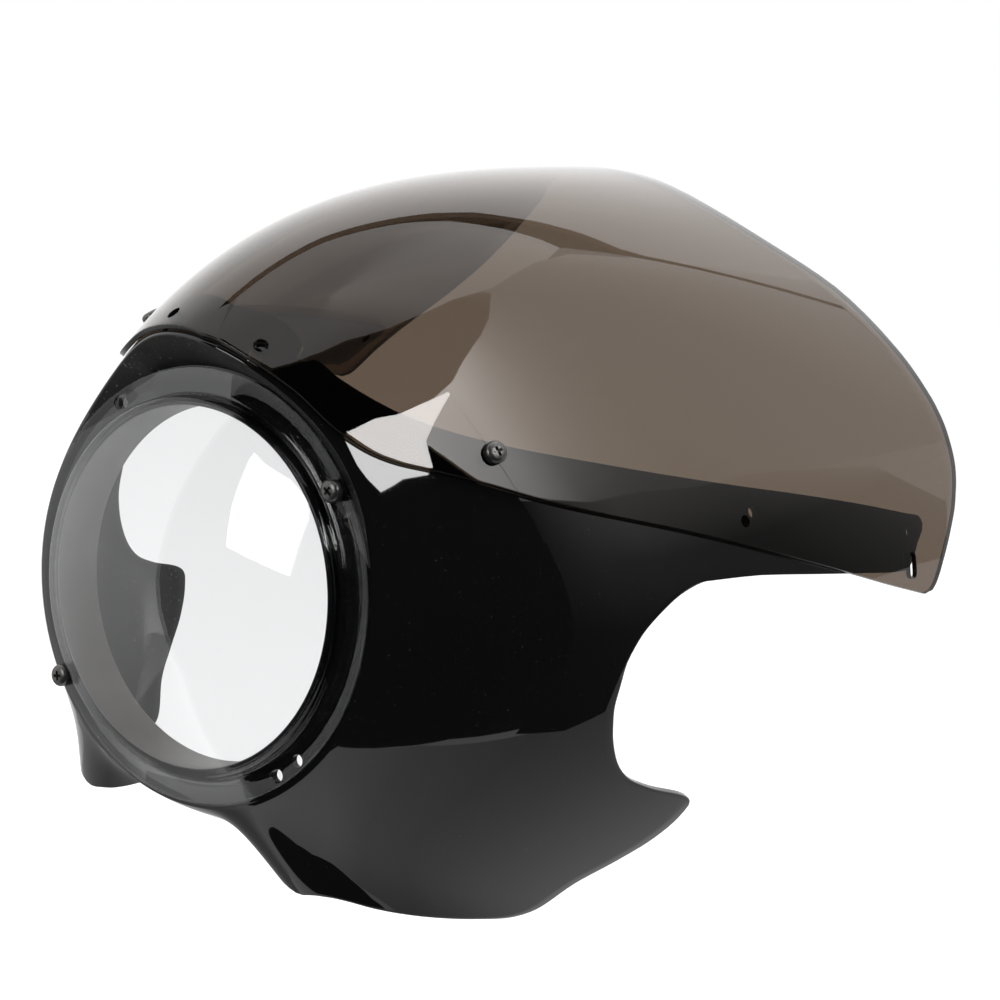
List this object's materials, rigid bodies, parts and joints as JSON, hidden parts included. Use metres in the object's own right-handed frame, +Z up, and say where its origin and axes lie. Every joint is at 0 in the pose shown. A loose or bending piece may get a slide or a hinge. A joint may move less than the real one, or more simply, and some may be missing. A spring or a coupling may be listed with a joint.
{
  "type": "headlight cowl",
  "caption": "Motorbike headlight cowl: a moulded shell with a clear round lens, a collar for the lamp and a smoked screen bolted over its top.",
  "frame": {"origin": "on the lens axis, at the front face of the lens flange", "axes": "-Y out of the lens along the lens axis, the way the lamp shines; +X to the right seen from the front; +Z up"},
  "size_m": [0.3812, 0.3887, 0.3252],
  "materials": {
    "black_plastic": "black, high gloss",
    "smoked_acrylic": "smoked acrylic, clear gloss",
    "clear_acrylic": "clear acrylic, gloss",
    "black_steel": "satin",
    "black_nylon": "matt",
    "zinc_steel": "satin"
  },
  "bodies": {
    "root": {"shell": "black_plastic", "screen": "smoked_acrylic", "lens": "clear_acrylic", "lens_screws": "black_steel", "lens_washers": "black_nylon", "lens_nuts": "zinc_steel", "screen_screws": "black_steel", "screen_washers": "black_nylon", "screen_nut": "zinc_steel"}
  },
  "joints": []
}
